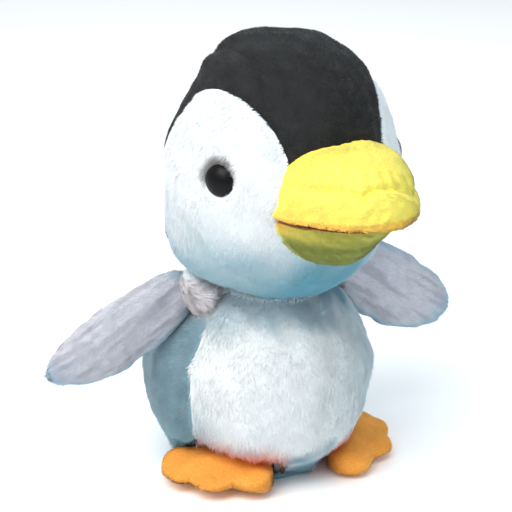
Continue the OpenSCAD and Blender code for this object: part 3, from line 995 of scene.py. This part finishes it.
def lowerShade(spot):
    # painted shade: the lower bill takes the olive tint, deeper further down and less at the mouth's corner
    deep = 0.62 + 0.3 * smooth(spot[:, 2], jawAt.z - 3 * mm, jawAt.z - 14 * mm)
    corner = smooth(spot[:, 1], -88 * mm, -68 * mm) * smooth(spot[:, 2], jawAt.z - 12 * mm, jawAt.z - 2 * mm)
    return deep * (1 - 0.75 * corner)


billPile = dict(perArea=3.4, length=1.9, width=0.3, lift=(24, 8), clump=0.12, wander=0.1, sink=0.1, soft=0.95,
                keep=outsideHead)
flat = (1.1, (1.0, 1.0))  # nearly no height, for a side that closes a form

form = bill["upper"]
reachUpper = headAt.y - billTip + form["ahead"] * mm
upper = billForm(form, reachUpper, (form["height"], form["lip"]), (1.6, (1.2, 1.2)))
puffUp(upper, 2.6, 1.0, upperSewn)
foldUpper(upper, reachUpper)
wrinkle(upper, 31, 9, bill["wrinkle"])
place(upper, places(upper) + [0, 0, 0.4 * mm])
toHead(upper)
upperBill = meshObject("upper_bill.cover", upper, cloths["yellow"])
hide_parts("upper_bill_cover", "upper_bill_stuffing")
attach(upperBill, "head")
dressed("upper_bill", upperBill, "yellow", "head", "yellow_plush", toward(0, -1, -0.12), 41, blush=billMouthShade,
        **billPile)

form = bill["lower"]
reachLower = headAt.y - jawTip + form["ahead"] * mm
lower = billForm(form, reachLower, (1.2, (1.0, 1.0)), (form["height"], form["lip"]))
place(lower, places(lower) - [0, 0, bill["lowerDrop"] * mm])
puffUp(lower, 2.6, 0.8, lowerSewn)
wrinkle(lower, 33, 9, bill["wrinkle"])
toHead(lower)
lowerBill = meshObject("lower_bill.cover", lower, cloths["yellow"])
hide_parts("lower_bill_cover", "lower_bill_stuffing")
lowerPile = layPile("lower_bill.pile", lowerBill, piles["yellow"], toward(0, -1, 0.1), 42, blush=lowerBlush,
                    cool=lowerShade, **billPile)
for piece in (lowerBill, lowerPile):
    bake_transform(piece)

lining = billForm({**bill["upper"], "wide": 34.2}, reachUpper - 2.5 * mm, flat, flat, 72, 32)
place(lining, places(lining) - [0, 0, 1.0 * mm])
toHead(lining)
mouth = meshObject("mouth.felt", lining, cloths["felt"])
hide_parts("mouth_lining")
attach(mouth, "head")
print("bill sewn")


# eyes

eyes = {"width": 16.6, "height": 5.0, "sunk": 3.3, "lower": 0.8}


def turnTo(direction):
    return direction.to_track_quat("Z", "Y").to_matrix()


for side in outward:
    dome = ball(64, 32)
    rows = places(dome) * [eyes["width"] / 2 * mm, eyes["width"] / 2 * mm, eyes["height"] * mm]
    seat = eyeTip[side] - eyeOut[side] * (eyes["height"] + eyes["sunk"]) * mm - up * eyes["lower"] * mm
    place(dome, rows @ np.array(turnTo(eyeOut[side])).T + np.array(seat))
    eye = meshObject("eye_" + side + ".dome", dome, eyeGloss)
    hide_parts("eye_" + side)
    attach(eye, "head")
    washer = frame["nodes"]["eye_washer_" + side]
    washer.data.materials.clear()
    washer.data.materials.append(washerPlastic)


# flippers

flippers = {
    "thick": 9.0, "creases": 0.5, "soften": 9, "centre": (50, 9), "blend": 26,
    "droop": {"right": 25, "left": 33}, "stretch": {"right": 0.96, "left": 1.0},
    "upper": {"right": 0.87, "left": 1.0},
    # the outline, out along the flipper and up across it
    "outline": [(0, 5), (9.6, 25), (21, 25), (37, 27.5), (47, 28), (62, 26.5), (78, 25), (87, 22.5),
                (93.5, 17), (97, 12), (95.6, 7), (88.5, 1.5), (82, -4), (67.6, -9), (48, -10.4),
                (29.6, -9.6), (12, -6)],
}


def padForm(reachOf, thick, square=0.75, segments=120, rings=40):
    # a closed cushion: reachOf gives its outline each way round, in the plane
    bm = ball(segments, rings)
    rows = places(bm)
    flat = np.hypot(rows[:, 0], rows[:, 1])
    turns = np.arctan2(rows[:, 1], rows[:, 0])
    reach = reachOf(turns) * flat
    height = np.sign(rows[:, 2]) * np.abs(rows[:, 2]) ** square * thick / 2
    return bm, np.stack([reach * np.cos(turns), reach * np.sin(turns), height], axis=1)


def leafReach(turns):
    cx, cy = flippers["centre"]
    known = sorted((math.atan2(y - cy, x - cx), math.hypot(x - cx, y - cy)) for x, y in flippers["outline"])
    around, reach = np.array(known).T
    spread = np.radians(np.linspace(-1, 1, 7) * flippers["soften"])
    return mm * sum(np.interp(turns + d, around, reach, period=2 * math.pi) for d in spread) / len(spread)


def leafSewn(p):
    return np.hypot(p[:, 0], p[:, 1]) > leafReach(np.arctan2(p[:, 1], p[:, 0])) - 3 * mm


def flipperWays(side):
    # out along the flipper and up across it, in the frame's upright plane
    sign, droop = outward[side], math.radians(flippers["droop"][side])
    along = np.array([sign * math.cos(droop), 0, -math.sin(droop)])
    across = np.array([sign * math.sin(droop), 0, math.cos(droop)])
    return along, across


def rimShade(spot, side):
    # painted shade: cool along the rim, below and towards the tip
    along, across = flipperWays(side)
    rel = spot - np.array(shoulderAt[side])
    a = rel @ along - flippers["centre"][0] * mm
    b = rel @ across - flippers["centre"][1] * mm
    edge = smooth(np.hypot(a, b) / leafReach(np.arctan2(b, a)), 0.82, 0.99)
    below = 0.6 + 0.4 * smooth(b, 8 * mm, -8 * mm)
    return 0.65 * edge * below + 0.5 * smooth(a - 0.4 * b, 22 * mm, 52 * mm)


def streaks(spot, side):
    # long faint lines out along the flipper
    along, across = flipperWays(side)
    rel = spot - np.array(shoulderAt[side])
    rows = np.stack([rel @ along * 0.12, rel @ across, rel[:, 1]], axis=1)
    return 0.3 * smooth(waves(rows, 6 * mm, 58)[:, 0], 0.0, 1.7) + 0.06


for side in outward:
    bm, rows = padForm(leafReach, flippers["thick"] * mm)
    place(bm, rows)
    puffUp(bm, 2.0, 1.6, leafSewn)
    rows = places(bm)
    alongWay, acrossWay = flipperWays(side)
    along = (rows[:, 0] + flippers["centre"][0] * mm) * flippers["stretch"][side]
    across = rows[:, 1] + flippers["centre"][1] * mm
    across *= np.where(across > 0, flippers["upper"][side], 1)
    spread = np.outer(along, alongWay) + np.outer(across, acrossWay) + np.outer(rows[:, 2], (0, 1, 0))
    place(bm, spread + np.array(shoulderAt[side]))
    lengthwise = np.stack([along * 0.3, across, rows[:, 2] * 0], axis=1)
    crease = np.abs(waves(lengthwise, 13 * mm, 51 + outward[side])[:, 0])
    swell(bm, (0.5 - crease) * flippers["creases"] * mm * smooth(np.abs(rows[:, 2]), 0, 1.5 * mm))
    pad = meshObject("flipper_" + side + ".pad", bm, cloths["satin"])
    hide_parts("flipper_front_" + side, "flipper_back_" + side, "flipper_stuffing_" + side)
    coat = layPile("flipper_" + side + ".pile", pad, piles["satin"], toward(*alongWay), 54, perArea=3.4,
                   length=3.4, width=0.28, lift=(18, 6), clump=0.2, wander=0.08, sink=0.15, soft=0.93,
                   cool=lambda spot: rimShade(spot, side), blush=lambda spot: streaks(spot, side))
    for piece in (pad, coat):
        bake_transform(piece)

shoulders = {"size": (8, 6.5, 12), "along": 6, "at": (0, -4, 6), "fall": (0.42, -0.3, -0.86), "top": 6}


def shoulderUnderShade(spot, side):
    # painted shade: the shoulder tuft turns pinker and darker low down
    return 0.25 * smooth(spot[:, 2], shoulderAt[side].z + 8 * mm, shoulderAt[side].z - 6 * mm)


def underHead(spot):
    return spot[:, 2] < neckAt.z + shoulders["top"] * mm


for side in outward:
    # a loose tuft of the belly's long pile over the flipper's root
    knob = ball(48, 24)
    x, y, z = shoulders["fall"]
    fall = Vector((-outward[side] * x, y, z)).normalized()
    rows = places(knob) * [size * mm for size in shoulders["size"]]
    middle = shoulderAt[side] + Vector(flipperWays(side)[0]) * shoulders["along"] * mm
    middle += Vector([step * mm for step in shoulders["at"]])
    place(knob, rows @ np.array(turnTo(fall)).T + np.array(middle))
    root = meshObject("shoulder_" + side + ".cloth", knob, cloths["white"])
    tuft = layPile("shoulder_" + side + ".pile", root, piles["tuft"], toward(*fall), 57, perArea=5,
                   length=7.5, width=0.34, bends=1, lift=(28, 4), clump=0.5, clumpSize=5, wander=0.4,
                   soft=0.9, keep=underHead, blush=lambda spot: shoulderUnderShade(spot, side))
    for piece in (root, tuft):
        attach(piece, "torso")
print("flippers sewn")


# feet

def soleless(spot):
    return spot[:, 2] > 2.2 * mm


def footRootShade(spot, side):
    # painted shade: the foot's pile turns deeper orange near the body
    return 0.55 * smooth(footPlane(spot, side)[0], 13 * mm, 2 * mm)


height = footShape["height"] * mm
for side in outward:
    thick = (footShape["height"] - 1.0) * mm
    bm, rows = padForm(lambda turns: footReach(turns) - 0.8 * mm, thick, square=0.34)
    place(bm, rows)
    puffUp(bm, 2.0, 0.6, lambda p: np.abs(p[:, 2]) < 1.6 * mm)
    rows = places(bm)
    rows[:, 2] *= 1 - 0.35 * smooth(rows[:, 0], 0, 16 * mm)
    out, across = footPlane(rows, side)[2:]
    cx, cy = (c * mm for c in footShape["centre"])
    stretch, beyond = footShape["stretch"][side], footShape["out"][side] * mm
    spread = np.outer(rows[:, 0] * stretch + cx + beyond, out) + np.outer(rows[:, 1] * stretch + cy, across)
    above = rows[:, 2] / height + 0.5
    u = rows[:, 0] + cx
    rise = footShape["tilt"][side] * np.maximum(u, 0)
    rise += above * footShape["rootRise"][side] * mm * smooth(u, 30 * mm, 0)
    upright = np.outer(rows[:, 2] + footShape["height"] / 2 * mm + rise, up)
    rows = spread + upright + [footAt[side].x, footAt[side].y, 0]
    place(bm, rows)
    swell(bm, 0.35 * mm * waves(rows, 13 * mm, 61)[:, 0])
    for v in bm.verts:
        v.co.z = max(v.co.z, 0.7 * mm)
    foot = meshObject("foot_" + side + ".pad", bm, cloths["orange"])
    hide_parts("foot_top_" + side, "foot_sole_" + side, "foot_stuffing_" + side)
    coat = layPile("foot_" + side + ".pile", foot, piles["orange"], toward(*out), 62, perArea=3.2, length=1.8,
                   width=0.3, lift=(24, 8), clump=0.12, sink=0.1, soft=0.95, keep=soleless,
                   blush=lambda spot: footRootShade(spot, side))
    for piece in (foot, coat):
        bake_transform(piece)
print("feet sewn")


# base, neck and hidden filling

disc = bmesh.new()
bmesh.ops.create_circle(disc, cap_ends=True, radius=baseR, segments=96)
lifted = bmesh.ops.extrude_face_region(disc, geom=disc.faces[:])
top = [g for g in lifted["geom"] if isinstance(g, bmesh.types.BMVert)]
bmesh.ops.translate(disc, verts=top, vec=(0, 0, 2.4 * mm))
base = meshObject("base.cloth", disc, cloths["side"])
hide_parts("base_panel", "body_stuffing", "pellet_bag")
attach(base, "torso")

collar = ball(96, 24)
rows = places(collar) * [31 * mm, 31 * mm, 7.5 * mm]
place(collar, rows @ np.array(turnTo(lean)).T + np.array(neckAt + lean * 1.5 * mm) + [0, 3 * mm, 0])
neck = meshObject("neck.collar", collar, cloths["white"])
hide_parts("neck_stuffing", "head_stuffing")
# painted shade: the collar's pile takes the cool tint evenly, for the crease under the chin
neckPile = layPile("neck.pile", neck, piles["white"], lambda spot, out: spot - np.array(neckAt), 71,
                   keep=lambda spot: np.linalg.norm(spot - np.array(neckAt), axis=1) > 20 * mm,
                   cool=lambda spot: np.full(len(spot), 0.55), lowest=-0.3, **{**longPile, "length": 4})
for piece in (neck, neckPile):
    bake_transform(piece)


# camera, floor and light

def lookFrom(azimuth, elevation):
    a, e = math.radians(azimuth), math.radians(elevation)
    return Vector((math.sin(a) * math.cos(e), -math.cos(a) * math.cos(e), math.sin(e)))


cameraSet = {"azimuth": -31.92, "elevation": 21.48, "roll": 1.65, "distance": 0.966, "lens": 130.4,
             "aim": (0, -0.003, 0.120), "shift": (-0.0189, -0.019)}
back = lookFrom(cameraSet["azimuth"], cameraSet["elevation"])
roll = Quaternion((0, 0, 1), math.radians(cameraSet["roll"]))
camera = bpy.data.objects.new("camera", bpy.data.cameras.new("camera"))
camera.data.lens = cameraSet["lens"]
camera.data.shift_x, camera.data.shift_y = cameraSet["shift"]
camera.data.clip_start = 0.05
camera.rotation_mode = "QUATERNION"
camera.rotation_quaternion = (-back).to_track_quat("-Z", "Y") @ roll
camera.location = Vector(cameraSet["aim"]) + back * cameraSet["distance"]
scene.collection.objects.link(camera)
scene.camera = camera

lights = {
    "key": dict(azimuth=-72, elevation=46, distance=0.9, size=0.6, power=6.5, colour=(1.0, 0.985, 0.965)),
    "front": dict(azimuth=-30, elevation=64, distance=1.0, size=0.6, power=3.4, colour=(1.0, 1.0, 1.0)),
    "cool": dict(azimuth=26, elevation=-3, distance=0.8, size=0.5, power=0.8, colour=(0.2, 0.7, 1.0)),
    "rim": dict(azimuth=150, elevation=35, distance=0.9, size=0.5, power=2, colour=(0.7, 0.88, 1.0)),
}
aim = Vector((0, -0.01, 0.12))
for name, light in lights.items():
    away = lookFrom(light["azimuth"], light["elevation"])
    lamp = bpy.data.objects.new("light." + name, bpy.data.lights.new(name, "AREA"))
    lamp.data.energy = light["power"]
    lamp.data.size = light["size"]
    lamp.data.color = light["colour"]
    lamp.rotation_mode = "QUATERNION"
    lamp.rotation_quaternion = (-away).to_track_quat("-Z", "Y")
    lamp.location = aim + away * light["distance"]
    scene.collection.objects.link(lamp)

sheet = bmesh.new()
bmesh.ops.create_grid(sheet, x_segments=1, y_segments=1, size=6)
floorMaterial, add, shader = shaderMaterial("paleFloor")
coord = add("ShaderNodeTexCoord")
grain = add("ShaderNodeTexNoise", {"Vector": coord.outputs["Object"], "Scale": 3.0})
tone = mix(add, grain.outputs["Fac"], srgb(250, 252, 253), srgb(255, 255, 255))
floorMaterial.node_tree.links.new(tone, shader.inputs["Base Color"])
shader.inputs["Roughness"].default_value = 0.95
floor = meshObject("floor", sheet, floorMaterial)

world = bpy.data.worlds.new("pale")
world.use_nodes = True
world.node_tree.nodes["Background"].inputs["Color"].default_value = (0.93, 0.97, 1.0, 1)
world.node_tree.nodes["Background"].inputs["Strength"].default_value = 0.78
scene.world = world
scene.view_settings.view_transform = "Standard"

print("scene ready")
